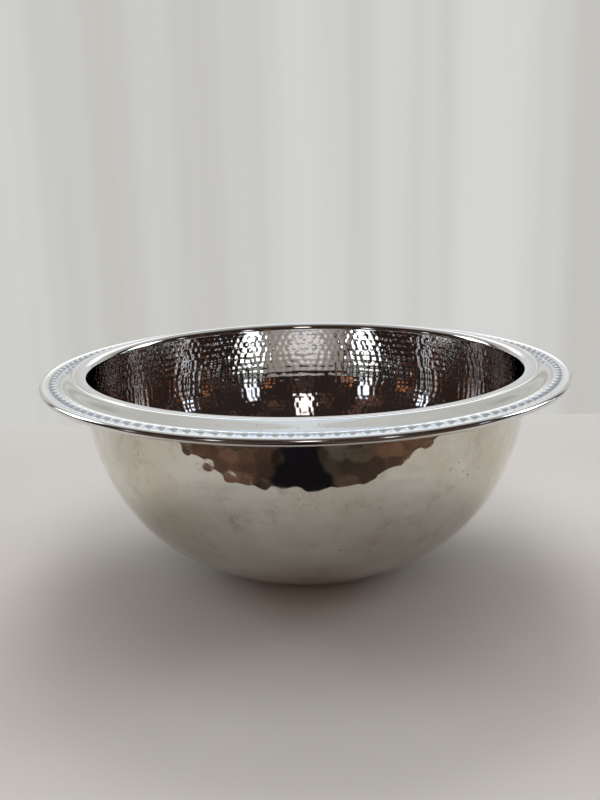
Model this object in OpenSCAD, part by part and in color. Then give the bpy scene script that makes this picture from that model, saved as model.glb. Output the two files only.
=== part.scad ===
// Double-walled hammered metal bowl with a beaded, rolled-edge brim.
// Millimetres, +Z up. The bowl's axis is Z and its flat base rests on z = 0.

/* [Bowl] */
// Diameter over the rolled edge of the brim
rim_d = 406; // [360:1:440]
// Height from the table to the top of the lip
bowl_h = 162; // [140:1:180]
// Width of the brim, from the outer bowl's wall to the outside of the rolled edge
brim_w = 32.3; // [30:0.1:36]
// Thickness of both bowl sheets and of the brim
sheet_t = 0.8; // [0.6:0.1:0.9]
// How far the wall's full curve would reach below the flat base
base_sink = 1.8; // [1:0.1:3]
// How full the outer wall is near the base; more makes the base wider
wall_fullness = 2.68; // [2.65:0.01:3]
// How long the outer wall stays upright under the brim
wall_roundness = 1.99; // [1.98:0.01:2.04]

/* [Inner bowl] */
// Air gap between the two sheets at the middle of the base
base_gap = 8; // [7:0.5:16]
// Air gap between the two sheets under the brim
top_gap = 2; // [1.8:0.1:2.6]
// How full the liner's wall is near its floor
liner_fullness = 2.5; // [2.3:0.01:2.54]
// How long the liner's wall stays upright under the brim
liner_roundness = 2.4; // [2.2:0.01:2.42]
// Radius of the rounded turn at the top of the lip
lip_turn = 4.9; // [4.4:0.1:5.2]
// Width of the flat lip that lies on the brim, outside the turn
lip_w = 4.3; // [3.6:0.1:5]

/* [Brim] */
// Height of the lip's top above the middle of the rolled edge
brim_drop = 7.7; // [7.5:0.1:8.4]
// Width of the convex band next to the lip
band_w = 7.6; // [6:0.1:9]
// Distance of the beads' middles from the outside of the rolled edge
bead_inset = 10.2; // [9.6:0.1:11]
// How many beads the brim has
bead_count = 130; // [90:1:140]
// Diameter of one bead
bead_d = 5.6; // [4.4:0.1:5.6]
// Height of one bead
bead_rise = 1.6; // [1:0.1:1.8]
// Depth of the bead groove below the lip's top
groove_drop = 5.4; // [5:0.1:5.8]
// Thickness of the rolled edge
roll_d = 5.6; // [5.2:0.1:6]

/* [Vent] */
// Diameter of the vent hole in the middle of the base
vent_d = 8; // [6:0.5:10]
// Depth of the recess that keeps the plug off the table
vent_recess = 1.3; // [1.2:0.1:1.6]

/* [Hidden] */

$fn = 96;
wall_steps = 30;
turn_steps = 6;
fit_gap = 0.05;

steel_pale = [0.80, 0.79, 0.77];
steel_grey = [0.66, 0.65, 0.63];
steel_dark = [0.45, 0.44, 0.43];

// Heights, from the top down
lip_under_z = bowl_h - sheet_t;
ledge_mid_z = lip_under_z - fit_gap - sheet_t / 2;
collar_mid_z = ledge_mid_z - sheet_t - fit_gap;
groove_top_z = bowl_h - groove_drop;
groove_mid_z = groove_top_z - sheet_t / 2;
roll_z = bowl_h - brim_drop;
wall_top_z = roll_z - 0.8;
flat_mid_z = sheet_t / 2;

// Radii, from the middle outwards
outer_mid_r = rim_d / 2 - brim_w - sheet_t / 2;
inner_mid_r = outer_mid_r - sheet_t - top_gap;
lip_turn_r = inner_mid_r - sheet_t / 2 + lip_turn;
lip_end_r = lip_turn_r + lip_w;
collar_bend = 1.6;
collar_end_r = lip_end_r - 0.7;
roll_r = (rim_d - roll_d) / 2;
roll_mid = (roll_d - sheet_t) / 2;
bead_circle_r = rim_d / 2 - bead_inset;
groove_half_w = 2.9;
cove_start_r = lip_end_r + band_w;
groove_in_r = bead_circle_r - groove_half_w;
groove_out_r = bead_circle_r + groove_half_w;

// Points round a circle in the profile plane, from angle a0 to a1
function arc(centre, radius, a0, a1, steps) =
    [for (i = [0 : steps])
        let (a = a0 + (a1 - a0) * i / steps)
        centre + radius * [cos(a), sin(a)]];

// Sideways direction of a path at point i
function across(path, i) =
    let (
        a = path[max(i - 1, 0)],
        b = path[min(i + 1, len(path) - 1)],
        along = b - a
    )
    [along[1], -along[0]] / norm(along);

// A profile point kept on its own side of the axis
function off_axis(point) = [max(point[0], 0), point[1]];

// Closed outline of a sheet of thickness t whose middle follows a path
function sheet_outline(path, t) =
    let (last = len(path) - 1)
    concat(
        [for (i = [0 : last]) off_axis(path[i] + across(path, i) * t / 2)],
        [for (i = [last : -1 : 0]) off_axis(path[i] - across(path, i) * t / 2)]
    );

// Wall curve: angle 0 is under the brim, angle 90 is where the full curve would meet the axis
function wall_point(mid_r, depth, fullness, roundness, a) =
    [mid_r * pow(cos(a), 2 / fullness), wall_top_z - depth * pow(sin(a), 2 / roundness)];
function liner_point(a) = wall_point(inner_mid_r, inner_depth, liner_fullness, liner_roundness, a);
function outer_point(a) = wall_point(outer_mid_r, outer_depth, wall_fullness, wall_roundness, a);

// Middle of the liner's sheet, from the centre of its floor to the end of its lip
inner_depth = wall_top_z - (2 * sheet_t - sheet_t / 2 + base_gap);
inner_path = concat(
    [for (i = [0 : wall_steps]) liner_point(90 * (1 - i / wall_steps))],
    arc([lip_turn_r, bowl_h - lip_turn], lip_turn - sheet_t / 2, 180, 90, turn_steps),
    [[lip_end_r - sheet_t, bowl_h - sheet_t / 2], [lip_end_r, bowl_h - sheet_t / 2]]
);

// Middle of the outer sheet, from the vent hole to the end of its collar
outer_depth = wall_top_z + base_sink - flat_mid_z;
flat_angle = asin(pow((wall_top_z - flat_mid_z) / outer_depth, wall_roundness / 2));
flat_out_r = outer_point(flat_angle)[0];
recess_in_r = vent_d / 2 + 5;
outer_path = concat(
    [
        [vent_d / 2, flat_mid_z + vent_recess],
        [recess_in_r - 0.4, flat_mid_z + vent_recess],
        [recess_in_r + 0.4, flat_mid_z + vent_recess * 0.85],
        [recess_in_r + 1.6, flat_mid_z + vent_recess * 0.15],
        [recess_in_r + 2.4, flat_mid_z],
        [recess_in_r + 4, flat_mid_z],
        [flat_out_r - 1.6, flat_mid_z],
        [flat_out_r, flat_mid_z]
    ],
    [for (i = [1 : wall_steps]) outer_point(flat_angle * (1 - i / wall_steps))],
    arc([outer_mid_r + collar_bend, collar_mid_z - collar_bend], collar_bend, 180, 90, turn_steps),
    [[collar_end_r, collar_mid_z]]
);

// Middle of the brim: ledge, convex band, cove, bead groove, then round the rolled edge
drop_band = (ledge_mid_z - groove_mid_z) * band_w / (groove_in_r - lip_end_r);
drop_cove = ledge_mid_z - groove_mid_z - drop_band;
roll_join = 125;
roll_end = -188;
join_point = [roll_r, roll_z] + roll_mid * [cos(roll_join), sin(roll_join)];
brim_path = concat(
    [[lip_turn_r + 0.4, ledge_mid_z]],
    [for (i = [0 : 6])
        let (s = i / 6)
        [lip_end_r + s * band_w, ledge_mid_z - drop_band * s * s]],
    [for (i = [1 : 6])
        let (s = i / 6)
        [cove_start_r + s * (groove_in_r - cove_start_r),
         ledge_mid_z - drop_band - drop_cove * (1 - (1 - s) * (1 - s))]],
    [for (i = [0 : 3])
        let (s = i / 4)
        [groove_out_r + s * (join_point[0] - groove_out_r),
         groove_mid_z + s * s * (join_point[1] - groove_mid_z)]],
    arc([roll_r, roll_z], roll_mid, roll_join, roll_end, 26)
);

// Radius of the sphere that a bead is a cap of
bead_ball_r = (pow(bead_d / 2, 2) + pow(bead_rise, 2)) / (2 * bead_rise);
bead_ball_z = groove_top_z + bead_rise - bead_ball_r;

module revolved_sheet(path) {
    rotate_extrude()
        polygon(sheet_outline(path, sheet_t));
}

module at_each_bead() {
    for (i = [0 : bead_count - 1])
        rotate([0, 0, 360 * i / bead_count])
            translate([bead_circle_r, 0, 0])
                children();
}

// A ball on the bead circle, either a bead's outside or the hollow pressed up into it
module bead_ball(radius) {
    translate([0, 0, bead_ball_z])
        sphere(r = radius);
}

// Dome of one bead, down to the middle of the sheet
module bead_dome() {
    intersection() {
        bead_ball(bead_ball_r);
        translate([0, 0, groove_mid_z])
            cylinder(r = bead_ball_r + 1, h = sheet_t + bead_rise);
    }
}

// Peened liner that holds the food, with its lip turned out over the brim
module inner_bowl() {
    color(steel_pale)
        revolved_sheet(inner_path);
}

// Planished outer wall and base, with a collar under the brim
module outer_bowl() {
    color(steel_grey)
        revolved_sheet(outer_path);
}

// Pressed ring with its beads raised from below and its edge rolled under
module beaded_brim() {
    color(steel_pale)
        difference() {
            union() {
                revolved_sheet(brim_path);
                at_each_bead() bead_dome();
            }
            at_each_bead() bead_ball(bead_ball_r - sheet_t);
        }
}

// Wire that the edge of the brim is rolled over
module rim_wire() {
    color(steel_dark)
        rotate_extrude()
            translate([roll_r, roll_z])
                circle(r = roll_d / 2 - sheet_t - fit_gap);
}

// Weld in the corner between the collar's edge and the underside of the brim
module seam_weld() {
    weld_w = 0.6;
    color(steel_dark)
        rotate_extrude()
            polygon([
                [collar_end_r + fit_gap, collar_mid_z - sheet_t / 2],
                [collar_end_r + fit_gap + weld_w, collar_mid_z + sheet_t / 4],
                [collar_end_r + fit_gap + weld_w, collar_mid_z + sheet_t / 2],
                [collar_end_r + fit_gap, collar_mid_z + sheet_t / 2]
            ]);
}

// Rivet that closes the vent hole, its head up in the recess
module vent_plug() {
    shank_r = vent_d / 2 - fit_gap;
    head_r = shank_r + 3;
    flare_r = shank_r + 1.6;
    sheet_low_z = vent_recess - fit_gap;
    sheet_high_z = vent_recess + sheet_t + fit_gap;
    color(steel_grey)
        rotate_extrude()
            polygon([
                [0, sheet_low_z - 1],
                [head_r - 0.7, sheet_low_z - 0.9],
                [head_r, sheet_low_z - 0.4],
                [head_r, sheet_low_z],
                [shank_r, sheet_low_z],
                [shank_r, sheet_high_z],
                [flare_r, sheet_high_z],
                [flare_r - 0.4, sheet_high_z + 0.6],
                [0, sheet_high_z + 0.8]
            ]);
}

inner_bowl();
outer_bowl();
beaded_brim();
rim_wire();
seam_weld();
vent_plug();
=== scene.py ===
import math

import bpy
import numpy as np
from mathutils import Matrix, Vector
from mathutils.kdtree import KDTree


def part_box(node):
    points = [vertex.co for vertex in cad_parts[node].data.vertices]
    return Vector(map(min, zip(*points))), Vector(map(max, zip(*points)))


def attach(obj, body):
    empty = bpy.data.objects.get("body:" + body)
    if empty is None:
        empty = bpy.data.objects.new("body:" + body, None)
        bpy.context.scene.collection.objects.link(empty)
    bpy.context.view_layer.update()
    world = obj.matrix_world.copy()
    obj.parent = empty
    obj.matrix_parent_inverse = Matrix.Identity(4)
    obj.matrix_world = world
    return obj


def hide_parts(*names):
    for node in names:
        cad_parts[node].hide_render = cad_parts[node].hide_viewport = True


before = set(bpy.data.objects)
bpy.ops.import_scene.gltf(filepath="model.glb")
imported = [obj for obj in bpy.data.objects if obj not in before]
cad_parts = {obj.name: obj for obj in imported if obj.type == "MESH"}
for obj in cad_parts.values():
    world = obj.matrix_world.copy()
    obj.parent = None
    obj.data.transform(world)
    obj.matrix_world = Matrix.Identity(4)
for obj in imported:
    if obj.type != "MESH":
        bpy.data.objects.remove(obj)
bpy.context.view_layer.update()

MM = 0.001
rng = np.random.default_rng(seed=20)

# ---------------------------------------------------------------- sizes

# Outer sizes come from the frame. Those given as numbers are what the CAD model was built with.

FIT_GAP = 0.05 * MM                             # clearance between pieces that lie on each other
SHEET = 0.8 * MM                                # thickness of both bowls and of the brim

RIM_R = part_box("rim_wire")[1].x + SHEET + FIT_GAP
ROLL_R = 2.8 * MM                               # radius of the rolled edge's section
ROLL_AT = RIM_R - ROLL_R
ROLL_Z = (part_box("rim_wire")[0].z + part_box("rim_wire")[1].z) / 2

BOWL_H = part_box("inner_bowl")[1].z
WALL_TOP_Z = ROLL_Z - 0.8 * MM                  # both walls are upright here
LIP_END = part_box("inner_bowl")[1].x
LIP_W = 4.3 * MM
LIP_TURN = 4.9 * MM                             # outside radius of the turn from the wall into the lip
LIP_TURN_AT = LIP_END - LIP_W
INNER_MID_R = LIP_TURN_AT - LIP_TURN + SHEET / 2
INNER_FLOOR_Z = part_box("inner_bowl")[0].z + SHEET / 2
LINER_CURVE = (2.5, 2.4)                        # how full near the base, how upright under the brim

TOP_GAP = 2 * MM                                # air between the walls under the brim
OUTER_MID_R = INNER_MID_R + SHEET + TOP_GAP
SHELL_CURVE = (2.68, 1.99)
BASE_SINK = 1.8 * MM                            # how far below the base the full curve would reach
COLLAR_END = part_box("outer_bowl")[1].x
COLLAR_BEND = 1.6 * MM
VENT_R = 4 * MM
RECESS = 1.3 * MM                               # how far the base is lifted round the vent
RECESS_OUT = 11.4 * MM                          # radius where that lift begins
RECESS_SLOPE = 2.8 * MM

LEDGE_MID_Z = BOWL_H - 1.5 * SHEET - FIT_GAP
COLLAR_MID_Z = LEDGE_MID_Z - SHEET - FIT_GAP
BAND_W = 7.6 * MM                               # convex band next to the lip
BEAD_COUNT = 130
BEAD_AT = RIM_R - 10.2 * MM
BEAD_R = 2.8 * MM
BEAD_RISE = 1.6 * MM
BEAD_STEP = 2 * math.pi / BEAD_COUNT            # angle from bead to bead
GROOVE_HALF = 2.9 * MM
GROOVE_MID_Z = BOWL_H - 5.4 * MM - SHEET / 2


# ---------------------------------------------------------------- profiles, as (radius, height) points

def arc(at, radius, start, end, steps):
    a = np.radians(np.linspace(start, end, steps + 1))
    return np.stack([at[0] + radius * np.cos(a), at[1] + radius * np.sin(a)], 1)


def wall(mid_r, depth, curve, angles):
    """Points down a bowl's wall. Angle 0 is under the brim, and 90 is where the curve meets the axis."""
    a = np.radians(angles)
    r = mid_r * np.maximum(np.cos(a), 0) ** (2 / curve[0])
    z = WALL_TOP_Z - depth * np.sin(a) ** (2 / curve[1])
    return np.stack([r, z], 1)


def line_normals(points):
    """The unit normal on the left of a line of points, at each of them."""
    run = np.gradient(points, axis=0)
    run /= np.linalg.norm(run, axis=1, keepdims=True)
    return np.stack([-run[:, 1], run[:, 0]], 1)


def resampled(path, step):
    """The same path with points about step apart, and their normals."""
    along = np.concatenate([[0], np.cumsum(np.linalg.norm(np.diff(path, axis=0), axis=1))])
    keep = np.concatenate([[True], np.diff(along) > 1e-9])
    along, path = along[keep], path[keep]
    steps = max(2, int(round(along[-1] / step)))
    at = np.linspace(0, along[-1], steps + 1)
    points = np.stack([np.interp(at, along, path[:, k]) for k in (0, 1)], 1)
    return points, line_normals(points)


def sheet_faces(middle, step, hidden_step):
    """Both faces of a sheet from its middle line: the shown one out, and the hidden one back."""
    points, left = resampled(middle, step)
    back, back_left = resampled(middle, hidden_step)
    shown = points + left * SHEET / 2
    hidden = (back - back_left * SHEET / 2)[::-1]
    return (shown, left), (hidden, -back_left[::-1])


def liner_middle():
    depth = WALL_TOP_Z - INNER_FLOOR_Z
    floor_to_top = wall(INNER_MID_R, depth, LINER_CURVE, np.linspace(90, 0, 500))
    turn = arc((LIP_TURN_AT, BOWL_H - LIP_TURN), LIP_TURN - SHEET / 2, 180, 90, 24)
    lip = [[LIP_END, BOWL_H - SHEET / 2]]
    return np.concatenate([floor_to_top, turn, lip])


# ---------------------------------------------------------------- meshes of rings

def ring_count(radius, spacing, most):
    """A count that halves as the rings get small, so that the spacing stays about the same."""
    n = most
    while n > 16 and 2 * math.pi * radius / n < spacing * 0.6 and n % 2 == 0:
        n //= 2
    return n


def ring_faces(a, na, b, nb):
    """Faces between the ring of na points that starts at index a and the ring of nb points at b.

    na and nb are equal, or one is twice the other, or one is 1.
    """
    if na == 1 or nb == 1:
        n, tip, ring = (nb, a, b) if na == 1 else (na, b, a)
        i = np.arange(n)
        j = (i + 1) % n
        tris = np.stack([np.full(n, tip), ring + i, ring + j], 1)
        return tris if na == 1 else tris[:, ::-1]
    if na == nb:
        i = np.arange(na)
        j = (i + 1) % na
        return np.stack([a + i, b + i, b + j, a + j], 1)
    few, many, n, flip = (a, b, na, False) if na < nb else (b, a, nb, True)
    i = np.arange(n)
    j = (i + 1) % n
    f0, f1, f2 = many + 2 * i, many + 2 * i + 1, many + (2 * i + 2) % (2 * n)
    tris = np.concatenate([
        np.stack([few + i, f0, f1], 1),
        np.stack([few + i, f1, few + j], 1),
        np.stack([few + j, f1, f2], 1),
    ])
    return tris[:, ::-1] if flip else tris


def revolve(name, outline, counts, shape, closed=False):
    """A mesh of rings round Z, one for each point of outline, which is (points, normals).

    counts is each ring's number of points. shape(points, normals, ring) returns the whole mesh's points
    after moving them. closed joins the last ring to the first.
    """
    points, normals = outline
    starts, verts, norms, rings = [], [], [], []
    total = 0
    for k, (p, n, c) in enumerate(zip(points, normals, counts)):
        starts.append(total)
        t = 2 * math.pi * np.arange(c) / c
        r = 0 if c == 1 else p[0]
        verts.append(np.stack([r * np.sin(t), -r * np.cos(t), np.full(c, p[1])], 1))
        norms.append(np.stack([n[0] * np.sin(t), -n[0] * np.cos(t), np.full(c, n[1])], 1))
        rings.append(np.full(c, k))
        total += c
    verts, norms, rings = np.concatenate(verts), np.concatenate(norms), np.concatenate(rings)
    verts = shape(verts, norms, rings)
    quads, tris = [], []
    pairs = [(k, k + 1) for k in range(len(counts) - 1)]
    if closed:
        pairs.append((len(counts) - 1, 0))
    for a, b in pairs:
        made = ring_faces(starts[a], counts[a], starts[b], counts[b])
        (quads if made.shape[1] == 4 else tris).append(made)
    return mesh_object(name, verts, quads, tris)


def mesh_object(name, verts, quads, tris):
    quads = np.concatenate(quads) if quads else np.zeros((0, 4), int)
    tris = np.concatenate(tris) if tris else np.zeros((0, 3), int)
    mesh = bpy.data.meshes.new(name)
    mesh.vertices.add(len(verts))
    mesh.vertices.foreach_set("co", verts.astype(np.float32).ravel())
    corners = np.concatenate([quads.ravel(), tris.ravel()])
    sizes = np.concatenate([np.full(len(quads), 4), np.full(len(tris), 3)])
    mesh.loops.add(len(corners))
    mesh.loops.foreach_set("vertex_index", corners.astype(np.int32))
    mesh.polygons.add(len(sizes))
    mesh.polygons.foreach_set("loop_start", (np.cumsum(sizes) - sizes).astype(np.int32))
    mesh.polygons.foreach_set("use_smooth", np.ones(len(sizes), bool))
    mesh.update(calc_edges=True)
    mesh.validate()
    piece = bpy.data.objects.new(name, mesh)
    bpy.context.scene.collection.objects.link(piece)
    return piece


# ---------------------------------------------------------------- hammer marks and unevenness

def smooth(x, low, high):
    t = np.clip((x - low) / (high - low), 0, 1)
    return t * t * (3 - 2 * t)


def waves(p, length):
    """Gentle unevenness between about -1 and 1, with bumps about length across."""
    count = 9
    total = np.zeros(len(p))
    for _ in range(count):
        way = rng.normal(size=3)
        way *= 2 * math.pi / length * rng.uniform(0.6, 1.3) / np.linalg.norm(way)
        total += np.sin(p @ way + rng.uniform(0, 2 * math.pi))
    return total / math.sqrt(count)


def hammer_rows(path, pitch, jitter):
    """Middles of marks in rows round the bowl, each row's marks between those of the row before."""
    row_step = 0.88 * pitch
    points, _ = resampled(path, row_step)
    marks = []
    for k, (r, z) in enumerate(points):
        n = max(1, round(2 * math.pi * r / pitch))
        t = 2 * math.pi * (np.arange(n) + 0.5 * (k % 2) + rng.normal(size=n) * jitter) / n
        row_r = r + rng.normal(size=n) * jitter * pitch * 0.5 * (n > 1)
        row_z = z + rng.normal(size=n) * jitter * pitch * 0.5
        marks.append(np.stack([row_r * np.sin(t), -row_r * np.cos(t), row_z], 1))
    return np.concatenate(marks)


def dishes(p, marks, reach, soft, spread):
    """How deep each point lies in the marks near it: 1 in the middle of one, about 0 on a ridge.

    reach is a mark's radius, soft how sharp the ridges are, and spread how much the depths differ.
    """
    tree = KDTree(len(marks))
    for i, m in enumerate(marks):
        tree.insert(m, i)
    tree.balance()
    depth = rng.uniform(1 - spread, 1 + spread, len(marks))
    nearest = 4
    near = [tree.find_n(v, nearest) for v in p]
    gap = np.array([[hit[2] for hit in hits] for hits in near])
    which = np.array([[hit[1] for hit in hits] for hits in near])
    each = depth[which] * (1 - (gap / reach) ** 2)
    return np.log(np.exp(each * soft).sum(1)) / soft


# ---------------------------------------------------------------- inner bowl

def add_inner_bowl():
    spacing, hidden_spacing, most = 1.05 * MM, 5 * MM, 960
    middle = liner_middle()
    (shown, out), (hidden, hidden_out) = sheet_faces(middle, spacing, hidden_spacing)
    turn = np.radians([60, 20, -20, -60])[:, None]
    ahead = np.array([out[-1][1], -out[-1][0]])
    edge_out = ahead * np.cos(turn) + out[-1] * np.sin(turn)
    edge = middle[-1] + edge_out * SHEET / 2
    points = np.concatenate([shown, edge, hidden])
    normals = np.concatenate([out, edge_out, hidden_out])
    on_shown = np.arange(len(points)) < len(shown)
    points[0][0] = points[-1][0] = 0
    counts = [1 if k in (0, len(points) - 1) else ring_count(p[0], spacing, most)
              for k, p in enumerate(points)]

    pitch, depth, wave_depth = 6.2 * MM, 0.17 * MM, 0.05 * MM
    face = points[on_shown]
    marks = hammer_rows(face[face[:, 1] < BOWL_H - 6 * MM], pitch, jitter=0.09)

    def shape(p, n, ring):
        moved = on_shown[ring]
        q = p[moved]
        fade = 1 - smooth(q[:, 2], BOWL_H - 9 * MM, BOWL_H - 5 * MM)
        fade *= 0.55 + 0.45 * smooth(q[:, 2], 0.45 * BOWL_H, 0.75 * BOWL_H)
        sink = dishes(q, marks, reach=0.6 * pitch, soft=7, spread=0.3) * depth * fade
        sink += waves(q, 45 * MM) * wave_depth * fade
        p[moved] = q - n[moved] * sink[:, None]
        return p

    piece = revolve("liner_peened", (points, normals), counts, shape)
    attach(piece, "root")
    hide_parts("inner_bowl")
    return piece


# ---------------------------------------------------------------- outer bowl

def outer_middle():
    depth = WALL_TOP_Z + BASE_SINK - SHEET / 2
    flat = math.degrees(math.asin(((WALL_TOP_Z - SHEET / 2) / depth) ** (SHELL_CURVE[1] / 2)))
    collar = arc((OUTER_MID_R + COLLAR_BEND, COLLAR_MID_Z - COLLAR_BEND), COLLAR_BEND, 90, 180, 16)
    down = wall(OUTER_MID_R, depth, SHELL_CURVE, np.linspace(0, flat, 400))
    s = np.linspace(0, 1, 16)
    slope = np.stack([RECESS_OUT - RECESS_SLOPE * s, SHEET / 2 + RECESS * s * s * (3 - 2 * s)], 1)
    hole = [[VENT_R, SHEET / 2 + RECESS]]
    return np.concatenate([[[COLLAR_END, COLLAR_MID_Z]], collar, down, slope, hole])


def add_outer_bowl():
    spacing, hidden_spacing, most = 1.5 * MM, 5 * MM, 640
    (shown, out), (hidden, hidden_out) = sheet_faces(outer_middle(), spacing, hidden_spacing)
    points = np.concatenate([shown, hidden])
    normals = np.concatenate([out, hidden_out])
    on_shown = np.arange(len(points)) < len(shown)
    counts = [ring_count(p[0], spacing, most) for p in points]

    pitch, depth, wave_depth = 10 * MM, 0.16 * MM, 0.1 * MM
    face = shown[(shown[:, 1] < WALL_TOP_Z + 2 * MM) & (shown[:, 0] > 30 * MM)]
    marks = hammer_rows(face, pitch, jitter=0.22)

    def shape(p, n, ring):
        moved = on_shown[ring]
        q = p[moved]
        fade = 1 - smooth(q[:, 2], WALL_TOP_Z, WALL_TOP_Z + 4 * MM)
        fade *= smooth(np.hypot(q[:, 0], q[:, 1]), 24 * MM, 42 * MM)
        sink = dishes(q, marks, reach=0.62 * pitch, soft=9, spread=0.6) * depth * fade
        sink += waves(q, 60 * MM) * wave_depth * fade
        p[moved] = q - n[moved] * sink[:, None]
        return p

    piece = revolve("outer_bowl_planished", (points, normals), counts, shape, closed=True)
    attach(piece, "root")
    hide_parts("outer_bowl")
    return piece


# ---------------------------------------------------------------- brim

def brim_middle():
    groove_in, groove_out = BEAD_AT - GROOVE_HALF, BEAD_AT + GROOVE_HALF
    fall = LEDGE_MID_Z - GROOVE_MID_Z
    band_fall = fall * BAND_W / (groove_in - LIP_END)
    cove_w = groove_in - LIP_END - BAND_W
    s = np.linspace(0, 1, 40)
    band = np.stack([LIP_END + s * BAND_W, LEDGE_MID_Z - band_fall * s * s], 1)
    cove = np.stack([LIP_END + BAND_W + s * cove_w,
                     LEDGE_MID_Z - band_fall - (fall - band_fall) * (1 - (1 - s) ** 2)], 1)
    mid_r = ROLL_R - SHEET / 2
    roll = arc((ROLL_AT, ROLL_Z), mid_r, 125, -188, 120)
    rise = np.stack([groove_out + s * (roll[0][0] - groove_out),
                     GROOVE_MID_Z + s * s * (roll[0][1] - GROOVE_MID_Z)], 1)
    return np.concatenate([[[LIP_TURN_AT + 0.4 * MM, LEDGE_MID_Z]], band, cove, rise, roll])


def add_brim():
    spacing = 0.47 * MM
    (upper, out), (lower, lower_out) = sheet_faces(brim_middle(), spacing, spacing)
    points = np.concatenate([upper, lower])
    normals = np.concatenate([out, lower_out])
    mid = points - normals * SHEET / 2
    in_groove = (np.abs(mid[:, 0] - BEAD_AT) < BEAD_R * 1.5) & (mid[:, 1] > ROLL_Z - 1 * MM)
    in_groove &= mid[:, 1] > GROOVE_MID_Z - 0.2 * MM

    many, few = BEAD_COUNT * 20, BEAD_COUNT * 5
    counts = np.where(in_groove, many, few)
    for k in range(1, len(counts)):
        if counts[k] == few and counts[k - 1] == many:
            counts[k] = many // 2
        elif counts[k - 1] == few and counts[k] == many:
            counts[k - 1] = many // 2
    burnish = 0.72 * MM                         # lifts the brim's top flush with the lip
    foot_soft = 0.02                            # rounds the corner at a bead's foot

    def shape(p, n, ring):
        r = np.hypot(p[:, 0], p[:, 1])
        turn = np.arctan2(p[:, 0], -p[:, 1])
        off = (turn + BEAD_STEP / 2) % BEAD_STEP - BEAD_STEP / 2
        q = np.hypot(r - BEAD_AT, r * off) / BEAD_R
        cap = 1 - q * q
        lift = BEAD_RISE * (cap + np.sqrt(cap * cap + foot_soft)) / 2
        p[:, 2] += np.where(in_groove[ring], lift * (1 - smooth(q, 1.15, 1.5)), 0)
        flush = smooth(r, LIP_END + 0.05 * MM, LIP_END + 0.4 * MM)
        flush *= 1 - smooth(r, LIP_END + 1 * MM, LIP_END + BAND_W)
        p[:, 2] += np.where(p[:, 2] > ROLL_Z, burnish * flush, 0)
        return p

    piece = revolve("brim_pressed", (points, normals), [int(c) for c in counts], shape, closed=True)
    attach(piece, "root")
    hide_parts("beaded_brim")
    return piece


# ---------------------------------------------------------------- weld and vent plug

def add_weld():
    """A rippled run of weld in the corner between the collar's edge and the brim."""
    low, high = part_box("seam_weld")
    half_w, half_h = 0.3 * MM, 0.94 * (high.z - low.z) / 2
    middle = (high.x - half_w - 0.03 * MM, (low.z + high.z) / 2)
    a = np.linspace(0, 2 * math.pi, 15)[:-1]
    square = (np.abs(np.cos(a)) ** 3 + np.abs(np.sin(a)) ** 3) ** (-1 / 3)
    points = np.stack([middle[0] - half_w * square * np.cos(a),
                       middle[1] + half_h * square * np.sin(a)], 1)
    normals = np.stack([-np.cos(a), np.sin(a)], 1)
    per_ring, ripples = 3040, 760
    ripple_h, wave_h, inset = 0.04 * MM, 0.03 * MM, 0.03 * MM

    def shape(p, n, ring):
        turn = np.arctan2(p[:, 0], -p[:, 1])
        ripple = np.sin(turn * ripples + 0.9 * np.sin(turn * 31)) * ripple_h
        return p + n * (ripple + waves(p, 9 * MM) * wave_h - inset)[:, None]

    piece = revolve("weld_rippled", (points, normals), [per_ring] * len(points), shape, closed=True)
    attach(piece, "root")
    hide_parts("seam_weld")
    return piece


def add_plug():
    """The rivet in the vent: a hand-set head below, a shank and a flared tail above the sheet."""
    low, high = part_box("vent_plug")
    head_r, shank_r = high.x, VENT_R - FIT_GAP
    flare_r = shank_r + 1.6 * MM
    head_top = RECESS - FIT_GAP                 # the head lies under the sheet
    tail_low = RECESS + SHEET + FIT_GAP         # the tail lies on top of it
    head_edge, tail_edge = 0.45 * MM, 0.3 * MM
    dome = np.linspace(0, 1, 26)
    under = np.stack([dome * (head_r - 0.5 * MM), low.z + 0.25 * MM * dome ** 2], 1)
    edge = arc((head_r - head_edge, head_top - head_edge), head_edge, -70, 60, 9)
    shank = [[head_r - 0.3 * MM, head_top], [shank_r, head_top], [shank_r, tail_low],
             [flare_r - 0.2 * MM, tail_low]]
    flare = arc((flare_r - tail_edge, tail_low + tail_edge), tail_edge, -60, 70, 7)
    inward = dome[1:]
    top = np.stack([(1 - inward) * (flare_r - 0.4 * MM), high.z - 0.2 * MM * (1 - inward ** 2)], 1)
    points = np.concatenate([under, edge, shank, flare, top])
    points[0][0] = points[-1][0] = 0
    normals = -line_normals(points)
    counts = [1 if k in (0, len(points) - 1) else 128 for k in range(len(points))]
    face = np.stack([np.linspace(0, head_r, 12), np.full(12, low.z)], 1)
    marks = hammer_rows(face, 2.4 * MM, jitter=0.25)
    depth = 0.07 * MM

    def shape(p, n, ring):
        head = ring < len(under)
        q = p[head]
        fade = 1 - smooth(np.hypot(q[:, 0], q[:, 1]), head_r - 1.6 * MM, head_r - 0.7 * MM)
        q[:, 2] += dishes(q, marks, reach=1.6 * MM, soft=7, spread=0.3) * depth * fade
        p[head] = q
        return p

    piece = revolve("plug_rivet", (points, normals), counts, shape)
    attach(piece, "root")
    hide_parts("vent_plug")
    return piece


liner = add_inner_bowl()
shell = add_outer_bowl()
brim = add_brim()
weld = add_weld()
plug = add_plug()


# ---------------------------------------------------------------- node graphs

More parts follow.
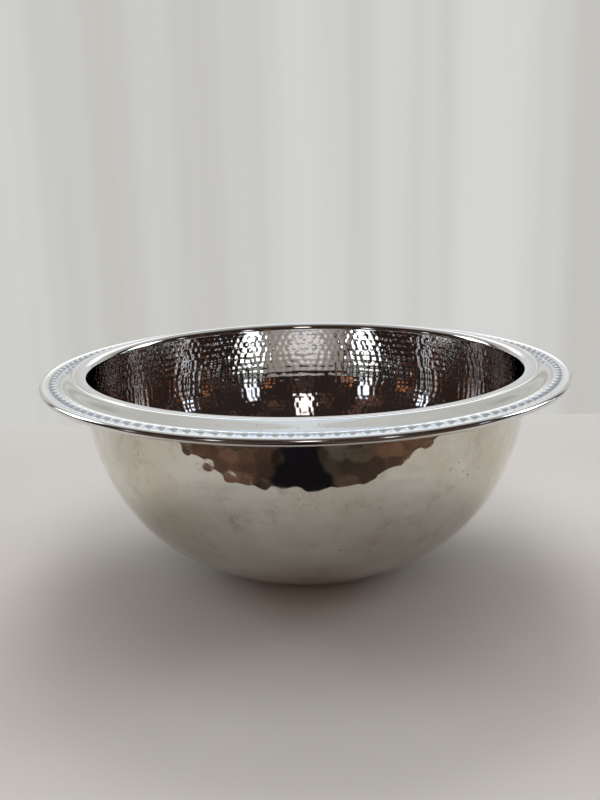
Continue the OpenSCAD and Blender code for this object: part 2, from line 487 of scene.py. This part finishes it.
class Graph:
    """Short names for adding nodes. A value may be a number, a colour or another node's output."""

    def __init__(self, tree):
        self.tree = tree

    def add(self, kind, values=None, out=0, **settings):
        node = self.tree.nodes.new(kind)
        for key, value in settings.items():
            setattr(node, key, value)
        for key, value in (values or {}).items():
            self.put(node.inputs[key], value)
        return node.outputs[out]

    def put(self, socket, value):
        if isinstance(value, bpy.types.NodeSocket):
            self.tree.links.new(value, socket)
        elif isinstance(value, tuple) and len(value) == 3 and socket.type == "RGBA":
            socket.default_value = (*value, 1)
        else:
            socket.default_value = value

    def math(self, operation, a, b=0.0):
        return self.add("ShaderNodeMath", {0: a, 1: b}, operation=operation)

    def length(self, a, b):
        squares = self.math("ADD", self.math("MULTIPLY", a, a), self.math("MULTIPLY", b, b))
        return self.math("SQRT", squares)

    def parts(self, vector):
        node = self.tree.nodes.new("ShaderNodeSeparateXYZ")
        self.put(node.inputs[0], vector)
        return node.outputs

    def step(self, value, low, high, to_low=0.0, to_high=1.0):
        """to_low below low, to_high above high, and a smooth change between."""
        values = {"Value": value, "From Min": low, "From Max": high,
                  "To Min": to_low, "To Max": to_high}
        return self.add("ShaderNodeMapRange", values, interpolation_type="SMOOTHSTEP")

    def mix(self, share, a, b):
        """Colour a where share is 0, and b where it is 1."""
        node = self.tree.nodes.new("ShaderNodeMix")
        node.data_type = "RGBA"
        self.put(node.inputs[0], share)
        self.put(node.inputs[6], a)
        self.put(node.inputs[7], b)
        return node.outputs[2]

    def noise(self, where, scale, detail=3.0, rough=0.55):
        values = {"Vector": where, "Scale": scale, "Detail": detail, "Roughness": rough}
        return self.add("ShaderNodeTexNoise", values)

    def noise_1d(self, where, scale, detail):
        values = {"W": where, "Scale": scale, "Detail": detail}
        return self.add("ShaderNodeTexNoise", values, noise_dimensions="1D")

    def spots(self, where, scale):
        return self.add("ShaderNodeTexVoronoi", {"Vector": where, "Scale": scale})

    def scaled(self, where, by):
        return self.add("ShaderNodeVectorMath", {0: where, 1: by}, operation="MULTIPLY")

    def turned(self, where, angles):
        values = {"Vector": where, "Rotation": angles}
        return self.add("ShaderNodeVectorRotate", values, rotation_type="EULER_XYZ")

    def bump(self, strength, distance, height):
        return self.add("ShaderNodeBump", {"Strength": strength, "Distance": distance, "Height": height})


# ---------------------------------------------------------------- materials

def new_material(name):
    mat = bpy.data.materials.new(name)
    mat.use_nodes = True
    graph = Graph(mat.node_tree)
    where = graph.add("ShaderNodeTexCoord", out="Object")
    return mat, graph, mat.node_tree.nodes["Principled BSDF"], where


def scratches(graph, where, length, width, turns):
    """Fine lines of wear, 0 to 1, that run another way for each of turns."""
    total = None
    for turn in turns:
        across = graph.scaled(graph.turned(where, turn), (1 / length, 1 / width, 1 / width))
        line = graph.step(graph.noise(across, 1.0, detail=2.0), 0.62, 0.74)
        total = line if total is None else graph.math("MAXIMUM", total, line)
    return total


def bead_painted_light(graph, where):
    """Masks for painted light on the brim, 0 to 1: a painted dark bluish reflection in the groove round
    the beads, and a painted shadow at each bead's inner foot.
    """
    x, y, _ = graph.parts(where)
    turn = graph.math("ARCTAN2", x, graph.math("MULTIPLY", y, -1.0))
    share = graph.math("ADD", graph.math("MULTIPLY", turn, 1 / BEAD_STEP), BEAD_COUNT + 0.5)
    off = graph.math("SUBTRACT", graph.math("FRACT", share), 0.5)
    # From the middle of the nearest bead, in bead radii: round the bowl, and outwards
    along = graph.math("MULTIPLY", off, BEAD_STEP * BEAD_AT / BEAD_R)
    out = graph.math("DIVIDE", graph.math("SUBTRACT", graph.length(x, y), BEAD_AT), BEAD_R)
    off_bead = graph.step(graph.length(along, out), 0.66, 0.95)
    in_groove = graph.step(graph.math("ABSOLUTE", out), 0.95, 1.3, 1.0, 0.0)
    foot_at, foot_w, foot_h = -1.05, 0.62, 0.7
    foot = graph.length(graph.math("DIVIDE", along, foot_w),
                        graph.math("DIVIDE", graph.math("SUBTRACT", out, foot_at), foot_h))
    return graph.math("MULTIPLY", off_bead, in_groove), graph.step(foot, 0.32, 0.66, 1.0, 0.0)


SMUDGE, PIT = (0.54, 0.49, 0.41), (0.12, 0.09, 0.07)
# Painted light on the brim: a dark bluish reflection between the beads, and a shadow at each bead's
# inner foot
GROOVE_PAINTED_REFLECTION, FOOT_PAINTED_SHADOW = (0.40, 0.45, 0.52), (0.06, 0.06, 0.07)


def polished_steel(name, pale, dull, rough, stain, pits, bump, beads=False):
    """Mirror-polished steel with smudges, dried water marks, pits and fine scratches.

    stain is how much the smudges show, pits how fine the pits are, and bump how deep the relief is.
    """
    mat, graph, bsdf, where = new_material(name)
    cloud = graph.noise(where, 14.0, 5.0, 0.6)
    smudge = graph.step(graph.noise(where, 38.0, 8.0, 0.85), 0.48, 0.70)
    run = graph.step(graph.noise(graph.scaled(where, (60.0, 60.0, 7.0)), 1.0, 4.0), 0.5, 0.8)
    turns = ((0.2, 0.4, 0.7), (1.1, 0.3, 2.0), (0.5, 1.2, 4.1))
    lines = scratches(graph, where, 30 * MM, 0.6 * MM, turns)
    pitted = graph.step(graph.noise(where, 22.0, 2.0), 0.57, 0.63)
    pit = graph.math("MULTIPLY", graph.step(graph.spots(where, pits), 0.08, 0.14, 1.0, 0.0), pitted)

    colour = graph.mix(graph.step(cloud, 0.35, 0.7), pale, dull)
    colour = graph.mix(graph.math("MULTIPLY", smudge, stain), colour, SMUDGE)
    colour = graph.mix(graph.math("MULTIPLY", pit, min(0.8, 1.6 * stain)), colour, PIT)
    if beads:
        # Painted light: a dark bluish reflection in the groove, and shadows at the beads' inner feet
        # whose strength varies with the cloud noise
        groove, foot = bead_painted_light(graph, where)
        foot_shadow_strength = graph.step(cloud, 0.3, 0.65, 0.5, 1.0)
        colour = graph.mix(graph.math("MULTIPLY", groove, 0.75), colour, GROOVE_PAINTED_REFLECTION)
        colour = graph.mix(graph.math("MULTIPLY", foot, foot_shadow_strength), colour, FOOT_PAINTED_SHADOW)

    roughness = rough
    for mark, more in ((smudge, 0.10 * stain + 0.02), (run, 0.03), (lines, 0.08), (pit, 0.4)):
        roughness = graph.math("ADD", roughness, graph.math("MULTIPLY", mark, more))
    relief = graph.math("ADD", graph.math("MULTIPLY", lines, -0.3), graph.math("MULTIPLY", pit, -1.0))
    graph.put(bsdf.inputs["Base Color"], colour)
    graph.put(bsdf.inputs["Metallic"], 1.0)
    graph.put(bsdf.inputs["Roughness"], roughness)
    graph.put(bsdf.inputs["Normal"], graph.bump(bump, 0.02 * MM, relief))
    return mat


liner.data.materials.append(polished_steel(
    "liner_mirror_steel", pale=(0.72, 0.695, 0.675), dull=(0.63, 0.595, 0.57),
    rough=0.02, stain=0.3, pits=210.0, bump=0.3))
shell.data.materials.append(polished_steel(
    "shell_mirror_steel", pale=(0.775, 0.785, 0.73), dull=(0.665, 0.635, 0.545),
    rough=0.02, stain=0.9, pits=160.0, bump=0.5))
brim.data.materials.append(polished_steel(
    "brim_mirror_steel", pale=(0.84, 0.83, 0.815), dull=(0.79, 0.78, 0.76),
    rough=0.10, stain=0.12, pits=240.0, bump=0.5, beads=True))


def wire_material():
    """Drawn wire: fine lines along the wire, dull patches of old oil and a little rust."""
    mat, graph, bsdf, where = new_material("wire_drawn_steel")
    line = graph.noise(graph.scaled(where, (30.0, 30.0, 4000.0)), 1.0, 2.0)
    old = graph.step(graph.noise(where, 45.0, 5.0, 0.65), 0.5, 0.75)
    rust = graph.step(graph.noise(where, 160.0, 4.0, 0.7), 0.66, 0.76)
    colour = graph.mix(old, (0.52, 0.51, 0.49), (0.34, 0.31, 0.27))
    colour = graph.mix(graph.math("MULTIPLY", rust, 0.6), colour, (0.20, 0.09, 0.04))
    rough = graph.math("ADD", 0.28, graph.math("MULTIPLY", old, 0.2))
    graph.put(bsdf.inputs["Base Color"], colour)
    graph.put(bsdf.inputs["Metallic"], graph.math("SUBTRACT", 1.0, graph.math("MULTIPLY", rust, 0.7)))
    graph.put(bsdf.inputs["Roughness"], rough)
    graph.put(bsdf.inputs["Normal"], graph.bump(0.4, 0.03 * MM, line))
    return mat


def weld_material():
    """Brushed weld with straw and blue heat tints."""
    mat, graph, bsdf, where = new_material("weld_tinted_steel")
    heat = graph.noise(where, 55.0, 4.0, 0.6)
    grain = graph.noise(where, 900.0, 3.0, 0.6)
    colour = graph.mix(graph.step(heat, 0.4, 0.6), (0.58, 0.56, 0.53), (0.55, 0.45, 0.30))
    colour = graph.mix(graph.step(heat, 0.58, 0.7), colour, (0.27, 0.30, 0.42))
    graph.put(bsdf.inputs["Base Color"], colour)
    graph.put(bsdf.inputs["Metallic"], 1.0)
    graph.put(bsdf.inputs["Roughness"], graph.math("ADD", 0.25, graph.math("MULTIPLY", grain, 0.25)))
    graph.put(bsdf.inputs["Normal"], graph.bump(0.5, 0.05 * MM, grain))
    return mat


def plug_material():
    """Satin rivet with turning marks round its middle and scuffs from the table."""
    mat, graph, bsdf, where = new_material("plug_satin_steel")
    flat = graph.scaled(where, (1.0, 1.0, 0.0))
    radius = graph.add("ShaderNodeVectorMath", {0: flat}, out="Value", operation="LENGTH")
    turned = graph.noise_1d(radius, 5000.0, 2.0)
    scuff = graph.step(graph.noise(graph.scaled(where, (300.0, 1400.0, 300.0)), 1.0, 3.0), 0.58, 0.7)
    colour = graph.mix(scuff, (0.68, 0.67, 0.65), (0.47, 0.45, 0.42))
    graph.put(bsdf.inputs["Base Color"], colour)
    graph.put(bsdf.inputs["Metallic"], 1.0)
    graph.put(bsdf.inputs["Roughness"], graph.math("ADD", 0.2, graph.math("MULTIPLY", scuff, 0.22)))
    graph.put(bsdf.inputs["Normal"], graph.bump(0.3, 0.02 * MM, turned))
    return mat


weld.data.materials.append(weld_material())
plug.data.materials.append(plug_material())
wire = bpy.data.objects["rim_wire"]
wire.data.materials.clear()
wire.data.materials.append(wire_material())


# ---------------------------------------------------------------- stage, light and camera

TABLE_EDGE = -1.36 * RIM_R                      # the table ends here in front, and the room begins
TABLE_BACK = 2.06 * RIM_R


def stage_plane(name, middle, size, material, turn=(0, 0, 0)):
    half_x, half_y = size[0] / 2, size[1] / 2
    mesh = bpy.data.meshes.new(name)
    corners = [(x * half_x, y * half_y, 0) for x, y in ((-1, -1), (1, -1), (1, 1), (-1, 1))]
    mesh.from_pydata(corners, [], [(0, 1, 2, 3)])
    plane = bpy.data.objects.new(name, mesh)
    plane.location = middle
    plane.rotation_euler = turn
    plane.data.materials.append(material)
    bpy.context.scene.collection.objects.link(plane)
    return plane


def clear_from_behind(graph, front):
    """Shows the front shader on a plane's face only, so that the bowl can be seen from every side."""
    behind = graph.add("ShaderNodeNewGeometry", out="Backfacing")
    clear = graph.add("ShaderNodeBsdfTransparent")
    either = graph.add("ShaderNodeMixShader", {0: behind, 1: front, 2: clear})
    graph.put(graph.tree.nodes["Material Output"].inputs["Surface"], either)


def cloth_material(name, colour):
    """Matt table cloth, a little uneven in tone."""
    mat, graph, bsdf, where = new_material(name)
    soft = graph.noise(where, 3.0, 4.0)
    shade = graph.mix(graph.step(soft, 0.3, 0.7), colour, tuple(c * 0.95 for c in colour))
    graph.put(bsdf.inputs["Base Color"], shade)
    bsdf.inputs["Roughness"].default_value = 0.95
    bsdf.inputs["Specular IOR Level"].default_value = 0.1
    clear_from_behind(graph, bsdf.outputs[0])
    return mat


def room_floor_material():
    """A dim floor beyond the table's edge, patchy, and darkest in the middle."""
    mat, graph, _, where = new_material("room_floor")
    glow = graph.step(graph.noise(where, 4.5, 5.0, 0.65), 0.36, 0.7)
    cool = graph.noise(graph.scaled(where, (1.0, 0.6, 1.0)), 2.6, 2.0)
    warm = graph.mix(glow, (0.050, 0.030, 0.024), (0.19, 0.105, 0.072))
    grey = graph.mix(glow, (0.030, 0.024, 0.020), (0.10, 0.085, 0.068))
    light = graph.mix(graph.step(cool, 0.45, 0.6), warm, grey)
    x = graph.parts(where)[0]
    aside = graph.math("ABSOLUTE", graph.math("ADD", x, graph.math("MULTIPLY", cool, 0.03)))
    middle = graph.step(aside, 0.05, 0.09, 1.0, 0.0)
    light = graph.mix(middle, light, (0.008, 0.007, 0.009))
    emission = graph.add("ShaderNodeEmission", {"Color": light, "Strength": 1.0})
    graph.tree.links.new(emission, mat.node_tree.nodes["Material Output"].inputs["Surface"])
    return mat


def backdrop_material():
    """A pale cloth backdrop that glows, with the light and shade of soft folds painted on its flat face.
    """
    mat, graph, _, where = new_material("backdrop_cloth")
    fold = graph.noise(graph.scaled(where, (7.0, 0.12, 0.0)), 1.0, 3.0)
    shade = graph.mix(graph.step(fold, 0.3, 0.7), (0.54, 0.53, 0.50), (0.66, 0.665, 0.65))
    emission = graph.add("ShaderNodeEmission", {"Color": shade, "Strength": 1.0})
    clear_from_behind(graph, emission)
    return mat


floor_cloth = cloth_material("floor_cloth", (0.64, 0.62, 0.605))
stage_plane("floor", (0, 0, -0.05 * MM), (9, 9), floor_cloth)

# Behind the bowl for the camera only: what the metal mirrors there comes from the world
upright = (math.pi / 2, 0, 0)
backdrop = stage_plane("backdrop", (0, TABLE_BACK, 1.5), (8, 3), backdrop_material(), upright)
backdrop.visible_glossy = False
backdrop.visible_shadow = False

# Seen in the metal only
room = stage_plane("room_floor", (0, TABLE_EDGE - 2.0, 1 * MM), (9, 4), room_floor_material())
room.visible_camera = False
room.visible_diffuse = False
room.visible_shadow = False


# Lamps, windows and one dark thing that the metal mirrors. Directions are in degrees, as in add_world:
# middle azimuth, half width, lowest and highest elevation, strength, colour
PANELS = (
    (34.0, 2.3, 10.0, 24.0, 1.0, (1.9, 2.1, 2.4)),
    (-38.0, 2.5, 10.0, 23.0, 1.0, (1.9, 2.1, 2.4)),
    (-117.0, 9.5, 12.0, 36.0, 1.0, (4.4, 5.0, 5.3)),
    (110.0, 9.5, 12.0, 36.0, 1.0, (4.4, 5.0, 5.3)),
    (77.0, 1.6, 13.0, 18.0, 1.0, (2.6, 3.0, 3.6)),
    (-76.0, 1.6, 13.0, 18.0, 1.0, (2.6, 3.0, 3.6)),
    (23.0, 1.8, 12.0, 14.5, 0.7, (1.3, 0.50, 0.20)),
    (-26.0, 1.8, 11.0, 13.5, 0.7, (1.3, 0.50, 0.20)),
    (63.0, 1.8, 10.0, 13.0, 0.6, (1.1, 0.42, 0.18)),
    (-61.0, 1.8, 10.0, 13.0, 0.6, (1.1, 0.42, 0.18)),
    (121.0, 2.4, -3.0, 9.0, 0.9, (1.1, 1.25, 1.45)),
    (127.0, 1.6, -2.0, 12.0, 0.9, (0.03, 0.035, 0.05)),
    (-124.0, 2.6, -3.0, 9.0, 0.7, (1.0, 1.1, 1.2)),
    (1.0, 4.5, 24.0, 40.0, 1.0, (2.5, 2.3, 2.2)),
)
PANEL_EDGE = 2.0                                # over how many degrees each side a panel's edge fades


def add_world():
    """Light by direction. Azimuth 0 is towards the camera, 90 towards +X, and elevation 0 is level."""
    world = bpy.data.worlds.new("soft_studio")
    bpy.context.scene.world = world
    world.use_nodes = True
    graph = Graph(world.node_tree)
    way = graph.add("ShaderNodeTexCoord", out="Generated")
    x, y, z = graph.parts(way)
    turn = graph.math("ARCTAN2", x, graph.math("MULTIPLY", y, -1.0))
    azimuth = graph.math("MULTIPLY", turn, 180 / math.pi)
    elevation = graph.math("MULTIPLY", graph.math("ARCSINE", z), 180 / math.pi)
    aside = graph.math("ABSOLUTE", azimuth)

    def panel(at, half_w, low, high):
        def above(edge):
            return graph.step(elevation, edge - PANEL_EDGE, edge + PANEL_EDGE)

        def below(value, edge):
            return graph.step(value, edge - PANEL_EDGE, edge + PANEL_EDGE, 1.0, 0.0)

        off = graph.math("ABSOLUTE", graph.math("SUBTRACT", azimuth, at))
        inside = graph.math("MULTIPLY", below(off, half_w), above(low))
        return graph.math("MULTIPLY", inside, below(elevation, high))

    # Level with the table: drapes behind the bowl, and a dim cluttered room in front
    fold = graph.step(graph.noise_1d(azimuth, 0.22, 4.0), 0.36, 0.62)
    drape = graph.mix(fold, (0.48, 0.47, 0.44), (0.68, 0.68, 0.655))
    drape = graph.mix(graph.step(aside, 158.0, 170.0), drape, (0.78, 0.80, 0.82))
    clutter = graph.noise(graph.scaled(way, (1.0, 1.0, 0.7)), 5.0, 5.0, 0.6)
    dim = graph.mix(graph.step(clutter, 0.5, 0.78), (0.030, 0.021, 0.019), (0.17, 0.095, 0.065))
    level = graph.mix(graph.step(aside, 128.0, 140.0), dim, drape)

    # Higher up, in turn: a lit stretch straight behind, a pale stretch, and the ceiling
    lit = graph.mix(graph.step(aside, 152.0, 170.0), level, (1.5, 1.56, 1.6))
    high = graph.mix(graph.step(aside, 90.0, 130.0), level, (0.56, 0.56, 0.54))
    high = graph.mix(graph.step(aside, 155.0, 168.0), high, (0.60, 0.71, 0.84))
    back = graph.mix(fold, (0.54, 0.53, 0.50), (0.66, 0.67, 0.66))
    back = graph.mix(graph.step(aside, 150.0, 172.0), back, (0.74, 0.80, 0.84))
    ceiling = graph.mix(graph.step(aside, 60.0, 120.0), (0.14, 0.115, 0.105), back)
    colour = graph.mix(graph.step(elevation, 14.0, 20.0), level, lit)
    colour = graph.mix(graph.step(elevation, 32.0, 42.0), colour, high)
    colour = graph.mix(graph.step(elevation, 48.0, 62.0), colour, ceiling)

    for at, half_w, low, top, strength, tint in PANELS:
        share = graph.math("MULTIPLY", panel(at, half_w, low, top), strength)
        colour = graph.mix(share, colour, tint)
    by_camera = graph.add("ShaderNodeLightPath", out="Is Camera Ray")
    colour = graph.mix(by_camera, colour, (0.56, 0.56, 0.54))
    graph.put(world.node_tree.nodes["Background"].inputs["Color"], colour)


def add_soft_light(name, at, size, watts, colour):
    """A rectangular light that points at the bowl's base and isn't seen in the metal."""
    light = bpy.data.lights.new(name, "AREA")
    light.shape = "RECTANGLE"
    light.size, light.size_y = size
    light.energy = watts
    light.color = colour
    holder = bpy.data.objects.new(name, light)
    holder.location = at
    holder.rotation_euler = (-Vector(at)).to_track_quat("-Z", "Y").to_euler()
    holder.visible_glossy = False
    bpy.context.scene.collection.objects.link(holder)


add_world()
add_soft_light("overhead", (0.05, 0.0, 1.7), (3.6, 0.75), 15, (1.0, 1.0, 0.98))
add_soft_light("back", (0.0, 1.8, 2.4), (1.4, 0.8), 26, (1.0, 0.985, 0.965))
add_soft_light("front", (-0.1, -1.9, 1.0), (3.2, 1.2), 5.5, (1.0, 0.54, 0.30))

bpy.context.scene.view_settings.view_transform = "Standard"

CAM_BACK, CAM_UP = 3.7792, 0.8255               # rim radii from the axis, and above the rolled edge
CAM_DOWN, CAM_TURN, CAM_ROLL = (math.radians(a) for a in (14.05, -0.326, -1.36))


def add_camera():
    """The photograph's camera, fitted to the ellipses of the rim, the opening and the bead row."""
    cam = bpy.data.cameras.new("camera")
    cam.lens = 45
    cam.sensor_width = 36
    level = math.cos(CAM_DOWN)
    ahead = Vector((math.sin(CAM_TURN) * level, math.cos(CAM_TURN) * level, -math.sin(CAM_DOWN)))
    right = Vector((math.cos(CAM_TURN), -math.sin(CAM_TURN), 0))
    up = right.cross(ahead)
    side = math.cos(CAM_ROLL) * right + math.sin(CAM_ROLL) * up
    top = -math.sin(CAM_ROLL) * right + math.cos(CAM_ROLL) * up
    turn = Matrix((side, top, -ahead)).transposed()
    place = Matrix.Translation((0, -CAM_BACK * RIM_R, ROLL_Z + CAM_UP * RIM_R))
    holder = bpy.data.objects.new("camera", cam)
    holder.matrix_world = place @ turn.to_4x4()
    bpy.context.scene.collection.objects.link(holder)
    bpy.context.scene.camera = holder


add_camera()
bpy.context.view_layer.update()
